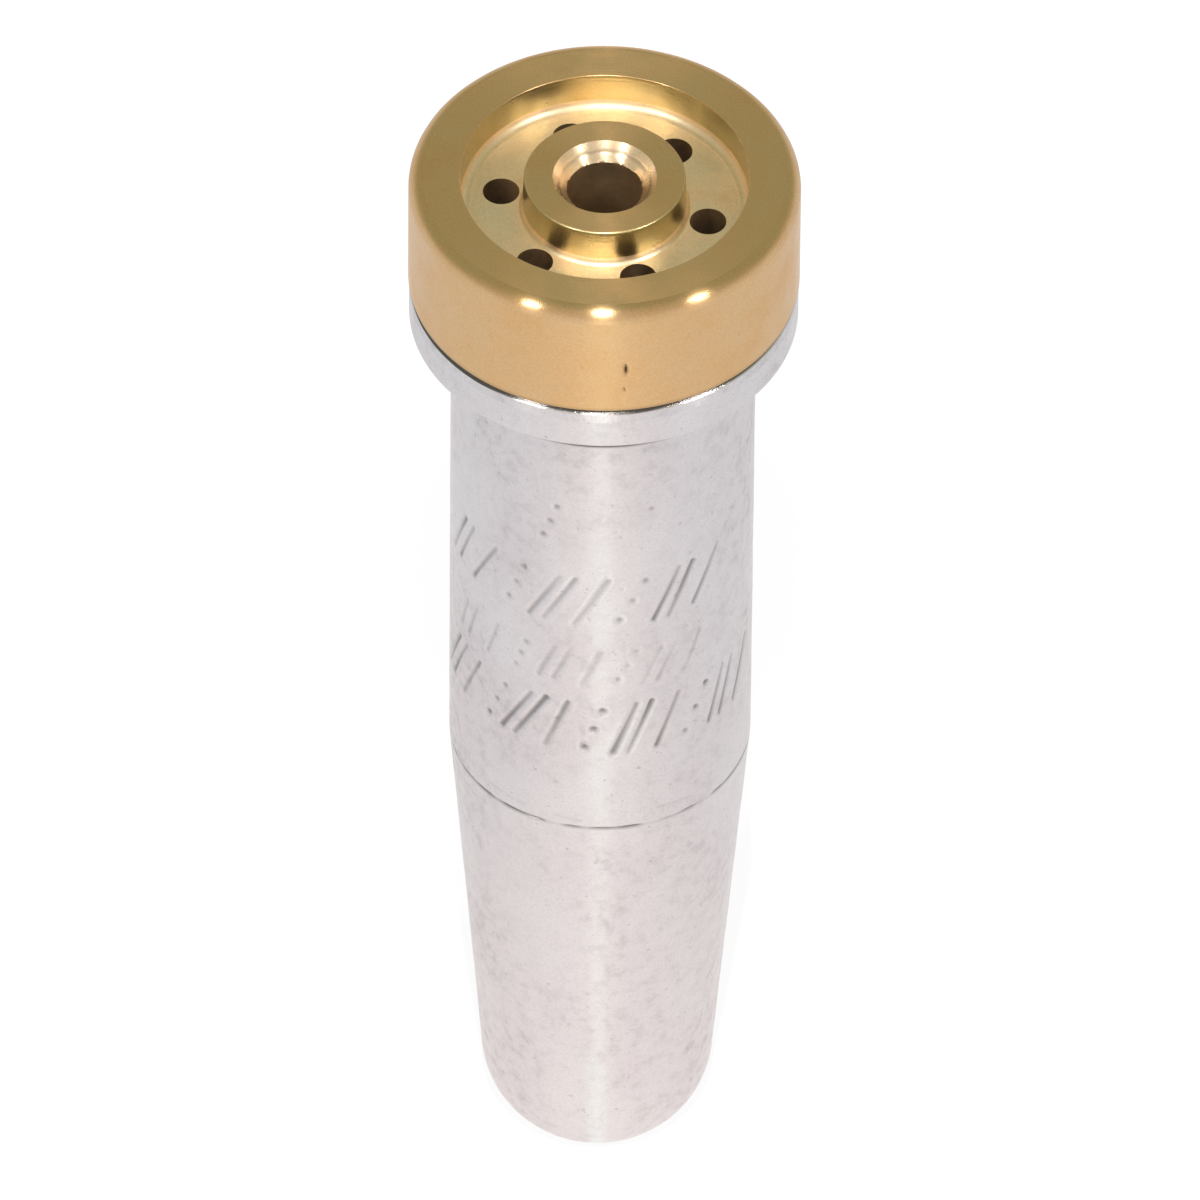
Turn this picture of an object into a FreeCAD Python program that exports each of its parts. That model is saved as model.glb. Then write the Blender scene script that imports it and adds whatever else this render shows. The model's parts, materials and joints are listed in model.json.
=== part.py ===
import FreeCAD, Part
import math
import os
import Sketcher

os.makedirs("parts", exist_ok=True)
doc = FreeCAD.newDocument("cutting_tip")

# A two-piece oxy fuel cutting tip, in millimetres, +Z up out of its seat.
# A turned brass nozzle is held in a turned, plated copper shell. The origin
# is on the axis, in the seat plane. Depths are measured down from that plane,
# so an outline is a list of corners (radius, depth).

# The driving sizes
DRIVING = {
    # Brass head and its seat
    "head_radius": 8.0,
    "head_height": 5.65,
    "head_rounding": 0.6,
    "seam_chamfer": 0.15,
    "groove_radius": 5.9,
    "groove_depth": 1.7,
    "groove_corner": 0.35,
    "boss_top_radius": 3.3,
    "boss_foot_radius": 3.5,
    "boss_chamfer": 0.1,
    # Oxygen way, from the countersink to the jet
    "countersink_radius": 2.12,
    "countersink_depth": 0.7,
    "bore_radius": 1.55,
    "bore_cone_length": 2.4,
    "jet_radius": 0.4,
    "jet_length": 6.5,
    # Gas ports through the head
    "port_radius": 0.75,
    "port_ledge": 0.05,
    "port_count": 6,
    "port_angle": 49,
    # Spigot, stem and fluted end of the nozzle
    "spigot_length": 3.4,
    "stem_gap": 0.12,
    "stem_cone_length": 9.0,
    "tip_radius": 2.2,
    "tip_length": 8.0,
    "slot_width": 0.6,
    "slot_depth": 0.6,
    "slot_run_out": 0.8,
    "slot_count": 6,
    # Outside of the shell
    "overall_length": 53.5,
    "collar_step": 0.04,
    "collar_height": 1.9,
    "barrel_radius": 6.25,
    "taper_start": 31.6,
    "nose_rise": 3.1,
    "nose_radius": 4.83,
    "end_face_radius": 3.2,
    "ring_line_width": 0.24,
    "ring_line_depth": 0.09,
    # Inside of the shell
    "spigot_wall": 0.75,
    "spigot_end_gap": 0.1,
    "shell_wall": 1.25,
    "chamber_cone_length": 12.0,
    "tip_bore_length": 7.0,
    "fit_clearance": 0.02,
}

# Sizes that follow from them, so that what fits, seats or lines up stays in step
DERIVED = {
    "port_circle_radius": "=boss_foot_radius + port_ledge + port_radius",
    "port_across": "=port_circle_radius * cos(port_angle * 1deg)",
    "port_along": "=port_circle_radius * sin(port_angle * 1deg)",
    "counterbore_radius": "=barrel_radius - spigot_wall",
    "spigot_radius": "=counterbore_radius - fit_clearance",
    "spigot_end": "=head_height + spigot_length",
    "stem_radius": "=port_circle_radius - port_radius - stem_gap",
    "tip_start": "=overall_length - tip_length",
    "stem_end": "=tip_start - stem_cone_length",
    "jet_start": "=overall_length - jet_length",
    "bore_end": "=jet_start - bore_cone_length",
    "slot_floor_radius": "=tip_radius - slot_depth",
    "slot_outer_radius": "=tip_radius + slot_depth",
    "slot_start": "=tip_start - slot_run_out",
    "collar_radius": "=head_radius - collar_step",
    "collar_end": "=head_height + collar_height",
    "shoulder_end": "=collar_end + collar_radius - barrel_radius",
    "nose_start": "=overall_length - nose_rise",
    "ring_line_top": "=taper_start - ring_line_width / 2",
    "ring_line_end": "=taper_start + ring_line_width / 2",
    "ring_line_floor": "=barrel_radius - ring_line_depth",
    "ring_line_outer": "=barrel_radius + ring_line_depth",
    "counterbore_end": "=spigot_end + spigot_end_gap",
    "chamber_radius": "=barrel_radius - shell_wall",
    "tip_bore_radius": "=tip_radius + fit_clearance",
    "tip_bore_start": "=overall_length - tip_bore_length",
    "chamber_end": "=tip_bore_start - chamber_cone_length",
}

# Two places nearer than this are the same, in millimetres
SAME_PLACE = 1e-5

sheet = doc.addObject("Spreadsheet::Sheet", "Sizes")
for row, (alias, value) in enumerate([*DRIVING.items(), *DERIVED.items()], start=1):
    sheet.set("A%d" % row, alias)
    sheet.set("B%d" % row, str(value))
    sheet.setAlias("B%d" % row, alias)
doc.recompute()


def size(alias):
    """The present value of a size in the sheet."""
    return float(sheet.get(alias))


def bind(feature, prop, alias):
    """Lets a property follow a size in the sheet."""
    feature.setExpression(prop, "Sizes." + alias)


def new_body(name):
    body = doc.addObject("PartDesign::Body", name)
    body.Label = name
    body.Placement = FreeCAD.Placement()
    return body


def new_sketch(body, name, plane):
    sketch = body.newObject("Sketcher::SketchObject", name)
    origin_plane = next(item for item in body.Origin.OriginFeatures if item.Role == plane)
    sketch.AttachmentSupport = [(origin_plane, "")]
    sketch.MapMode = "FlatFace"
    return sketch


def hold_corner(sketch, line, corner):
    """Holds a line's first point at its radius from the axis and its depth below the seat."""
    radius, depth = corner
    if radius == "axis":
        sketch.addConstraint(Sketcher.Constraint("PointOnObject", line, 1, -2))
    else:
        index = sketch.addConstraint(Sketcher.Constraint("DistanceX", -1, 1, line, 1, size(radius)))
        bind(sketch, "Constraints[%d]" % index, radius)
    if depth == "seat":
        sketch.addConstraint(Sketcher.Constraint("PointOnObject", line, 1, -1))
    else:
        index = sketch.addConstraint(Sketcher.Constraint("DistanceY", line, 1, -1, 1, size(depth)))
        bind(sketch, "Constraints[%d]" % index, depth)


def corner_point(corner):
    radius, depth = corner
    across = 0.0 if radius == "axis" else size(radius)
    down = 0.0 if depth == "seat" else size(depth)
    return FreeCAD.Vector(across, -down, 0)


def section_sketch(body, name, corners):
    """A closed half-section in the XZ plane, with straight sides between its corners."""
    sketch = new_sketch(body, name, "XZ_Plane")
    points = [corner_point(corner) for corner in corners]
    for start, end in zip(points, points[1:] + points[:1]):
        sketch.addGeometry(Part.LineSegment(start, end))
    for line in range(len(corners)):
        following = (line + 1) % len(corners)
        sketch.addConstraint(Sketcher.Constraint("Coincident", line, 2, following, 1))
    for line, corner in enumerate(corners):
        hold_corner(sketch, line, corner)
    return sketch


def turn(body, name, sketch, kind="PartDesign::Revolution"):
    """Turns a half-section round the axis, to add material, or to cut it with a Groove."""
    feature = body.newObject(kind, name)
    feature.Profile = sketch
    feature.ReferenceAxis = (sketch, ["V_Axis"])
    feature.Angle = 360
    body.Tip = feature
    doc.recompute()
    return feature


def turned_cut(body, name, corners):
    before = body.Shape.Volume
    feature = turn(body, name, section_sketch(body, name + "Section", corners), "PartDesign::Groove")
    print("%s removes %.2f cubic mm" % (name, before - body.Shape.Volume))
    assert body.Shape.Volume < before, name + " cut nothing"
    return feature


def ring_edges(feature, corner):
    """The names of the circular edges round the axis at one corner of the turned outline."""
    place = corner_point(corner)
    centre = FreeCAD.Vector(0, 0, place.y)
    names = []
    for number, edge in enumerate(feature.Shape.Edges, start=1):
        if not isinstance(edge.Curve, Part.Circle):
            continue
        same_centre = edge.Curve.Center.distanceToPoint(centre) < SAME_PLACE
        if same_centre and abs(edge.Curve.Radius - place.x) < SAME_PLACE:
            names.append("Edge%d" % number)
    return names


def dress_edges(body, kind, name, corner, alias):
    """Rounds or chamfers a turned edge by one size of the sheet."""
    base = body.Tip
    prop = "Radius" if kind == "PartDesign::Fillet" else "Size"
    feature = body.newObject(kind, name)
    feature.Base = (base, ring_edges(base, corner))
    bind(feature, prop, alias)
    body.Tip = feature
    doc.recompute()
    return feature


def ring_pattern(body, name, original, axis, alias):
    """Repeats a cut evenly round the axis."""
    pattern = body.newObject("PartDesign::PolarPattern", name)
    pattern.Originals = [original]
    pattern.Axis = axis
    pattern.Angle = 360
    bind(pattern, "Occurrences", alias)
    body.Tip = pattern
    doc.recompute()
    return pattern


# Inner nozzle: the brass piece, from the seat to the jet
def nozzle_blank(body):
    corners = [
        ("axis", "seat"),
        ("head_radius", "seat"),
        ("head_radius", "head_height"),
        ("spigot_radius", "head_height"),
        ("spigot_radius", "spigot_end"),
        ("stem_radius", "spigot_end"),
        ("stem_radius", "stem_end"),
        ("tip_radius", "tip_start"),
        ("tip_radius", "overall_length"),
        ("axis", "overall_length"),
    ]
    turn(body, "NozzleBlank", section_sketch(body, "NozzleBlankSection", corners))


def seat_groove(body):
    """The ring-shaped gas groove between the two flat seat faces."""
    corners = [
        ("boss_top_radius", "seat"),
        ("groove_radius", "seat"),
        ("groove_radius", "groove_depth"),
        ("boss_foot_radius", "groove_depth"),
    ]
    turned_cut(body, "SeatGroove", corners)


def oxygen_way(body):
    """Countersink, bore, cone and jet, turned as one cut."""
    corners = [
        ("axis", "seat"),
        ("countersink_radius", "seat"),
        ("bore_radius", "countersink_depth"),
        ("bore_radius", "bore_end"),
        ("jet_radius", "jet_start"),
        ("jet_radius", "overall_length"),
        ("axis", "overall_length"),
    ]
    turned_cut(body, "OxygenWay", corners)


def head_edges(body):
    rounding, chamfer = "PartDesign::Fillet", "PartDesign::Chamfer"
    dress_edges(body, rounding, "HeadRounding", ("head_radius", "seat"), "head_rounding")
    dress_edges(body, chamfer, "HeadSeamChamfer", ("head_radius", "head_height"), "seam_chamfer")
    dress_edges(body, chamfer, "BossChamfer", ("boss_top_radius", "seat"), "boss_chamfer")
    dress_edges(body, rounding, "GrooveCorner", ("groove_radius", "groove_depth"), "groove_corner")


def gas_ports(body):
    """One port drilled through head and spigot beside the boss, then repeated round it."""
    sketch = new_sketch(body, "PortSketch", "XY_Plane")
    centre = FreeCAD.Vector(size("port_across"), size("port_along"), 0)
    sketch.addGeometry(Part.Circle(centre, FreeCAD.Vector(0, 0, 1), size("port_radius")))
    for kind, alias in (("DistanceX", "port_across"), ("DistanceY", "port_along")):
        index = sketch.addConstraint(Sketcher.Constraint(kind, -1, 1, 0, 3, size(alias)))
        bind(sketch, "Constraints[%d]" % index, alias)
    index = sketch.addConstraint(Sketcher.Constraint("Radius", 0, size("port_radius")))
    bind(sketch, "Constraints[%d]" % index, "port_radius")
    port = body.newObject("PartDesign::Pocket", "Port")
    port.Profile = sketch
    bind(port, "Length", "spigot_end")
    body.Tip = port
    doc.recompute()
    ring_pattern(body, "Ports", port, (sketch, ["N_Axis"]), "port_count")


def preheat_slots(body):
    """One slot milled along the fluted end, with a sloping run-out, then repeated round it."""
    corners = [
        ("slot_floor_radius", "tip_start"),
        ("slot_outer_radius", "slot_start"),
        ("slot_outer_radius", "overall_length"),
        ("slot_floor_radius", "overall_length"),
    ]
    sketch = section_sketch(body, "SlotSection", corners)
    slot = body.newObject("PartDesign::Pocket", "Slot")
    slot.Profile = sketch
    slot.SideType = "Symmetric"
    bind(slot, "Length", "slot_width")
    body.Tip = slot
    doc.recompute()
    ring_pattern(body, "Slots", slot, (sketch, ["V_Axis"]), "slot_count")


def inner_nozzle():
    body = new_body("inner_nozzle")
    nozzle_blank(body)
    seat_groove(body)
    oxygen_way(body)
    head_edges(body)
    gas_ports(body)
    preheat_slots(body)
    return body


# Outer shell: the plated copper piece, from the collar to the rounded nose
def nose_arc(taper_top, taper_end, face_edge):
    """The arc that runs on smoothly from the taper's end to the edge of the end face."""
    along = (taper_end - taper_top).normalize()
    inward = FreeCAD.Vector(along.y, -along.x, 0)
    chord = face_edge - taper_end
    radius = chord.dot(chord) / (2 * inward.dot(chord))
    centre = taper_end + inward * radius
    low, high = (math.atan2(point.y - centre.y, point.x - centre.x) for point in (face_edge, taper_end))
    return Part.ArcOfCircle(Part.Circle(centre, FreeCAD.Vector(0, 0, 1), radius), low, high)


def shell_outline(body):
    """The outside in one half-section, with the nose as an arc that runs on from the taper."""
    corners = [
        ("axis", "overall_length"),
        ("axis", "head_height"),
        ("collar_radius", "head_height"),
        ("collar_radius", "collar_end"),
        ("barrel_radius", "shoulder_end"),
        ("barrel_radius", "taper_start"),
        ("nose_radius", "nose_start"),
        ("end_face_radius", "overall_length"),
    ]
    sketch = new_sketch(body, "ShellSection", "XZ_Plane")
    points = [corner_point(corner) for corner in corners]
    nose = len(corners) - 2
    for line in range(nose):
        sketch.addGeometry(Part.LineSegment(points[line], points[line + 1]))
    sketch.addGeometry(nose_arc(*points[-3:]))
    end_face = sketch.addGeometry(Part.LineSegment(points[-1], points[0]))
    for line in range(nose - 1):
        sketch.addConstraint(Sketcher.Constraint("Coincident", line, 2, line + 1, 1))
    sketch.addConstraint(Sketcher.Constraint("Tangent", nose - 1, 2, nose, 2))
    sketch.addConstraint(Sketcher.Constraint("Coincident", nose, 1, end_face, 1))
    sketch.addConstraint(Sketcher.Constraint("Coincident", end_face, 2, 0, 1))
    for line, corner in enumerate(corners[:nose]):
        hold_corner(sketch, line, corner)
    for kind, alias in (("DistanceX", "nose_radius"), ("DistanceY", "nose_start")):
        ends = (-1, 1, nose - 1, 2) if kind == "DistanceX" else (nose - 1, 2, -1, 1)
        index = sketch.addConstraint(Sketcher.Constraint(kind, *ends, size(alias)))
        bind(sketch, "Constraints[%d]" % index, alias)
    hold_corner(sketch, end_face, corners[-1])
    turn(body, "ShellBlank", sketch)


def shell_inside(body):
    """Counterbore for the spigot, gas chamber with its cone, and the close bore round the fluted end."""
    corners = [
        ("axis", "head_height"),
        ("counterbore_radius", "head_height"),
        ("counterbore_radius", "counterbore_end"),
        ("chamber_radius", "counterbore_end"),
        ("chamber_radius", "chamber_end"),
        ("tip_bore_radius", "tip_bore_start"),
        ("tip_bore_radius", "overall_length"),
        ("axis", "overall_length"),
    ]
    turned_cut(body, "ShellInside", corners)


def ring_line(body):
    """The fine scribed line where the barrel ends and the taper starts."""
    corners = [
        ("ring_line_outer", "ring_line_top"),
        ("ring_line_outer", "ring_line_end"),
        ("ring_line_floor", "taper_start"),
    ]
    turned_cut(body, "RingLine", corners)


def outer_shell():
    body = new_body("outer_shell")
    shell_outline(body)
    shell_inside(body)
    ring_line(body)
    chamfer = "PartDesign::Chamfer"
    dress_edges(body, chamfer, "CollarChamfer", ("collar_radius", "head_height"), "seam_chamfer")
    return body


pieces = [inner_nozzle(), outer_shell()]
doc.recompute()

# Nothing may have failed before the files are written
for item in doc.Objects:
    assert not {"Invalid", "Error"} & set(item.State), item.Name + " failed"
for piece in pieces:
    shape = piece.Shape
    assert not shape.isNull() and shape.isValid() and len(shape.Solids) == 1, piece.Label + " is not one solid"
    print("%s: %.1f cubic mm, box %s" % (piece.Label, shape.Volume, shape.BoundBox))
    shape.exportStep("parts/%s.step" % piece.Label)
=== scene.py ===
# %% [markdown]
# # An oxy fuel cutting tip
#
# This tip is two turned pieces: a brass nozzle, whose flat seat seals against the torch, and a
# plated copper shell, which runs down to a rounded nose. The engineering model comes first and
# holds every size. It could be dressed as it is, but its facets are coarse for polished metal,
# so each piece is made again here as a fine surface of the same size, with the marks of the
# lathe and of use on it.

# %% Load the frame
import json
import math

import bpy
import numpy as np
from mathutils import Matrix, Vector


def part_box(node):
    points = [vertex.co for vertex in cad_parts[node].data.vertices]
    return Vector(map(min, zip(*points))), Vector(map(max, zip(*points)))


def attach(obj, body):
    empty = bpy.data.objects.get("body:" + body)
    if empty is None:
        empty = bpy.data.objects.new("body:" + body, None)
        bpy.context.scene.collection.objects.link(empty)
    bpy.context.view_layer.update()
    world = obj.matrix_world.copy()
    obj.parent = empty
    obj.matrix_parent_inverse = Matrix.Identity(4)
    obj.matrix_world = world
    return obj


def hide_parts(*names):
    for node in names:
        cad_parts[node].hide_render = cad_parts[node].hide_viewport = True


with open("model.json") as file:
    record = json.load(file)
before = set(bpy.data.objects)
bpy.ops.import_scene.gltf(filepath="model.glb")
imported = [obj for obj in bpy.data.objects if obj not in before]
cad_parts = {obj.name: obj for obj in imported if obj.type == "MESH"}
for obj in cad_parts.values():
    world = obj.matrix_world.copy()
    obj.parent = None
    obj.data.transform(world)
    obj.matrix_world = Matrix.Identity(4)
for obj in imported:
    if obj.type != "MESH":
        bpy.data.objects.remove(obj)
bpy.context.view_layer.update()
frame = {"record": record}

# %% [markdown]
# ## Sizes
#
# The script works in millimetres and turns to metres only when a mesh is made. What the packed
# model can tell is read from it: the boxes of the two nodes and the barrel's radius and length.
# The smaller sizes, such as the groove, are the ones that the engineering model was built to.

# %% Sizes from the frame
MM = 0.001
nozzle_box = [np.array(corner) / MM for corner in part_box("inner_nozzle")]
shell_box = [np.array(corner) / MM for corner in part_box("outer_shell")]
mounts = {mount["name"]: mount for mount in frame["record"]["mounts"]}

HEAD_RADIUS = round(float(nozzle_box[1][0]), 3)
LENGTH = round(float(-nozzle_box[0][2]), 3)
HEAD_HEIGHT = round(float(-shell_box[1][2]), 3)
COLLAR_RADIUS = round(float(shell_box[1][0]), 3)
BARREL_RADIUS = mounts["barrel"]["dims"]["r_mm"]
BORE_RADIUS = mounts["oxygen_bore"]["dims"]["r_mm"]
print("head radius", HEAD_RADIUS, "head height", HEAD_HEIGHT, "length", LENGTH)
print("collar radius", COLLAR_RADIUS, "barrel radius", BARREL_RADIUS, "bore radius", BORE_RADIUS)

# %% Smaller sizes, in millimetres
HEAD_ROUNDING = 0.6
SEAM_CHAMFER = 0.15
GROOVE_RADIUS = 5.9
GROOVE_DEPTH = 1.7
GROOVE_CORNER = 0.35
BOSS_TOP_RADIUS = 3.3
BOSS_FOOT_RADIUS = 3.5
BOSS_EDGE = 0.1
BOSS_HOLLOW = 0.14
LIP = 0.04
COUNTERSINK_RADIUS = 2.12
COUNTERSINK_DEPTH = 0.7
PORT_RADIUS = 0.75
PORT_CIRCLE = BOSS_FOOT_RADIUS + 0.05 + PORT_RADIUS
PORT_COUNT = 6
PORT_ANGLE = math.radians(49)
SPIGOT_RADIUS = 5.48
SPIGOT_END = HEAD_HEIGHT + 3.4
STEM_RADIUS = PORT_CIRCLE - PORT_RADIUS - 0.12
STEM_END = LENGTH - 17.0
TIP_RADIUS = 2.2
TIP_START = LENGTH - 8.0
SLOT_FLOOR = 1.6
SLOT_WIDTH = 0.6
SLOT_START = TIP_START - 0.4
BORE_END = LENGTH - 8.9
JET_START = LENGTH - 6.5
JET_RADIUS = 0.4

COLLAR_END = HEAD_HEIGHT + 1.9
SHOULDER_END = COLLAR_END + COLLAR_RADIUS - BARREL_RADIUS
TAPER_START = 31.6
NOSE_START = LENGTH - 3.1
NOSE_RADIUS = 4.83
END_FACE_RADIUS = 3.2
COUNTERBORE_RADIUS = 5.5
COUNTERBORE_END = SPIGOT_END + 0.1
CHAMBER_RADIUS = BARREL_RADIUS - 1.25
TIP_BORE_RADIUS = 2.22
TIP_BORE_START = LENGTH - 7.0
CHAMBER_END = TIP_BORE_START - 12.0

# %% [markdown]
# ## Turned surfaces
#
# A lathe makes a surface of revolution: one outline, carried round the axis. So the shape of a
# turned piece is a function of two parameters, the place along the outline and the angle. The
# Spin operator could do it, but on a grid of our own each point can also be moved a little, and
# that is how the nicks, pits and punch marks come in later as real shape.
#
# An outline is a list of corners. Each has a radius, a depth below the seat, a rounding and the
# spacing of the points along the side that follows.

# %% Outlines with rounded corners
WELD = 1e-4      # points that are closer than this, in millimetres, are one point


def corner_arc(before, corner, after, rounding, steps=7):
    """Points of the arc that touches both sides of a corner: its centre lies on the bisector,
    as far out as the rounding divided by the sine of half the angle between the sides."""
    one = (before - corner) / np.linalg.norm(before - corner)
    two = (after - corner) / np.linalg.norm(after - corner)
    half = 0.5 * math.acos(np.clip(one @ two, -1.0, 1.0))
    bisector = (one + two) / np.linalg.norm(one + two)
    centre = corner + bisector * rounding / math.sin(half)
    start = corner + one * rounding / math.tan(half) - centre
    end = corner + two * rounding / math.tan(half) - centre
    turn = math.pi - 2 * half
    share = np.linspace(0.0, 1.0, steps)[:, None]
    return centre + (start * np.sin((1 - share) * turn) + end * np.sin(share * turn)) / math.sin(turn)


def outline(corners, closed=False):
    """Radius and depth along an outline: straight sides filled in at their spacing, and an arc
    at each corner that has a rounding."""
    places = np.array([corner[:2] for corner in corners], float)
    count = len(corners)
    pieces = []
    for index, (_, _, rounding, _) in enumerate(corners):
        inner = closed or 0 < index < count - 1
        if rounding and inner:
            before, after = places[index - 1], places[(index + 1) % count]
            pieces.append(corner_arc(before, places[index], after, rounding))
        else:
            pieces.append(places[index][None, :])
    run = []
    for index, piece in enumerate(pieces):
        run.append(piece)
        if index == count - 1 and not closed:
            break
        start, end = piece[-1], pieces[(index + 1) % count][0]
        steps = max(1, int(round(np.linalg.norm(end - start) / corners[index][3])))
        share = np.linspace(0.0, 1.0, steps + 1)[1:-1, None]
        run.append(start + (end - start) * share)
    run = np.concatenate(run)
    apart = np.linalg.norm(np.diff(run, axis=0), axis=1) > WELD
    return run[np.concatenate([[True], apart])]


# %% A band of a turned surface
def turned_band(run, angles):
    """Point (i, j) is at radius r(i), angle a(j) and height minus depth d(i). angles is one row
    for all, or one row for each point of the run."""
    radius, depth = run[:, :1], run[:, 1:2]
    angles = np.broadcast_to(angles, (len(run), np.shape(angles)[-1]))
    flat = np.ones_like(angles)
    return np.stack([radius * np.cos(angles), radius * np.sin(angles), -depth * flat], axis=-1)


def grid_faces(rows, columns, closed_rows=False):
    """Four-sided faces of a grid whose columns close into a ring, and its rows too if asked."""
    i = np.arange(rows if closed_rows else rows - 1)[:, None]
    j = np.arange(columns)[None, :]
    below = (i + 1) % rows
    beside = (j + 1) % columns
    corners = [i * columns + j, below * columns + j, below * columns + beside, i * columns + beside]
    return np.stack([np.broadcast_to(c, (i.size, columns)) for c in corners], axis=-1).reshape(-1, 4)


# %% From arrays to a mesh
def make_piece(name, points, faces, materials, face_material=None, attributes=None):
    """Joins points that coincide, then makes the object, with its place in its mesh. The UV map
    runs round the axis in U and down it in V, so that the grain of the turning can follow it."""
    keys = np.round(points / WELD).astype(np.int64)
    _, first, inverse = np.unique(keys, axis=0, return_index=True, return_inverse=True)
    inverse = inverse.reshape(-1)
    faces = inverse[faces]
    points = points[first]
    mesh = bpy.data.meshes.new(name)
    mesh.vertices.add(len(points))
    mesh.vertices.foreach_set("co", (points * MM).astype(np.float32).ravel())
    mesh.loops.add(faces.size)
    mesh.loops.foreach_set("vertex_index", faces.astype(np.int32).ravel())
    mesh.polygons.add(len(faces))
    mesh.polygons.foreach_set("loop_start", np.arange(0, faces.size, 4, dtype=np.int32))
    for material in materials:
        mesh.materials.append(material)
    if face_material is not None:
        mesh.polygons.foreach_set("material_index", face_material.astype(np.int32))
    mesh.update(calc_edges=True)
    turning_map(mesh, points, faces)
    for key, values in (attributes or {}).items():
        attribute = mesh.attributes.new(key, "FLOAT", "POINT")
        attribute.data.foreach_set("value", values[first].astype(np.float32))
    mesh.shade_smooth()
    mesh.set_sharp_from_angle(angle=SHARP_ANGLE)
    mesh.validate()
    obj = bpy.data.objects.new(name, mesh)
    bpy.context.scene.collection.objects.link(obj)
    print(name, "has", len(points), "points and", 2 * len(faces), "triangles")
    return obj


SHARP_ANGLE = math.radians(38)


def turning_map(mesh, points, faces):
    """U is the angle round the axis in turns, kept whole across each face. V is the way along
    the outline, as radius plus depth, in centimetres."""
    corners = points[faces]
    angle = np.arctan2(corners[..., 1], corners[..., 0]) / (2 * math.pi)
    angle += np.round(angle[:, :1] - angle)
    along = (np.hypot(corners[..., 0], corners[..., 1]) - corners[..., 2]) / 10
    uv = mesh.uv_layers.new(name="turning")
    uv.data.foreach_set("uv", np.stack([angle, along], axis=-1).astype(np.float32).ravel())


# %% [markdown]
# ## Unevenness
#
# Nothing that has been handled is perfectly even. A smooth wave that closes round the piece is
# a sum of sines with whole numbers of turns. Its numbers come from a seeded generator, so that
# each run gives the same piece. Where a mark fades away to both sides, a bell curve does it.

# %% A bell, and an angle brought back into one turn
def bell(value, middle, width):
    """exp of minus the square of the distance from the middle, counted in widths."""
    return np.exp(-((value - middle) / width) ** 2)


def wrapped(angle):
    """The same angle between minus and plus half a turn."""
    return (angle + math.pi) % (2 * math.pi) - math.pi


# %% A closed, smooth wave
def uneven(angle, height, seed, turns=(2, 3, 5, 8, 13), reach=6.0):
    """Sum over a few whole numbers n of sin(n times angle + m times height + a phase), divided
    by the square root of their count, so that it stays near plus or minus one."""
    rng = np.random.default_rng(seed)
    total = np.zeros(np.broadcast(angle, height).shape)
    for n in turns:
        slope, phase = rng.uniform(-1, 1) * 2 * math.pi / reach, rng.uniform(0, 2 * math.pi)
        total += np.sin(n * angle + slope * height * math.sqrt(n) + phase)
    return total / math.sqrt(len(turns))


# %% [markdown]
# ## Metals
#
# Both metals are bare, so their colour sits in the reflection. The cutter leaves fine rings
# round the axis. They spread a reflection across the rings and not along them, which is why a
# turned face shows a bright fan and a turned barrel a bright stripe. The shader's anisotropy
# does that for the rings that are too fine to see, and a bump does the ones that can be seen.

# %% Node helpers
def new_material(name):
    material = bpy.data.materials.new(name)
    material.use_nodes = True
    tree = material.node_tree
    return material, tree, tree.nodes["Principled BSDF"]


def add_node(tree, kind, **values):
    """Adds a node. A value is set on the input of that name, or on the node itself."""
    node = tree.nodes.new(kind)
    for key, value in values.items():
        if key in node.inputs:
            node.inputs[key].default_value = value
        else:
            setattr(node, key, value)
    return node


def noise(tree, vector, scale, detail=4.0, roughness=0.55):
    node = add_node(tree, "ShaderNodeTexNoise", Scale=scale, Detail=detail, Roughness=roughness)
    tree.links.new(vector, node.inputs["Vector"])
    return node.outputs["Fac"]


def ramp(tree, value, low, high, to_low=0.0, to_high=1.0):
    """Carries the stretch from low to high onto the stretch from to_low to to_high."""
    node = add_node(tree, "ShaderNodeMapRange")
    for key, number in (("From Min", low), ("From Max", high), ("To Min", to_low), ("To Max", to_high)):
        node.inputs[key].default_value = number
    tree.links.new(value, node.inputs["Value"])
    return node.outputs["Result"]


def blend_colours(tree, fac, first, second, mode="MIX"):
    node = add_node(tree, "ShaderNodeMix", data_type="RGBA", blend_type=mode)
    for socket, value in zip((node.inputs[0], node.inputs[6], node.inputs[7]), (fac, first, second)):
        if isinstance(value, bpy.types.NodeSocket):
            tree.links.new(value, socket)
        else:
            socket.default_value = value
    return node.outputs[2]


def stretched(tree, scale):
    """Object coordinates, stretched, so that a noise read from them runs in streaks."""
    place = add_node(tree, "ShaderNodeTexCoord").outputs["Object"]
    mapping = add_node(tree, "ShaderNodeMapping", Scale=scale)
    tree.links.new(place, mapping.inputs["Vector"])
    return mapping.outputs["Vector"]


def ring_coordinate(tree, across=0.15):
    """A coordinate that changes fast across the rings and slowly along them: U times a small
    number, and V as it is."""
    uv = add_node(tree, "ShaderNodeUVMap", uv_map="turning").outputs["UV"]
    mapping = add_node(tree, "ShaderNodeMapping", Scale=(across, 1.0, 1.0))
    tree.links.new(uv, mapping.inputs["Vector"])
    return mapping.outputs["Vector"]


# %% The grain of the lathe
def lathe_grain(tree, shader, amount):
    """Stretches reflections across the rings. The tangent from the UV map runs along them, so
    it is turned by a quarter."""
    shader.inputs["Anisotropic"].default_value = amount
    shader.inputs["Anisotropic Rotation"].default_value = 0.25
    tangent = add_node(tree, "ShaderNodeTangent", direction_type="UV_MAP", uv_map="turning")
    tree.links.new(tangent.outputs["Tangent"], shader.inputs["Tangent"])


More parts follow.
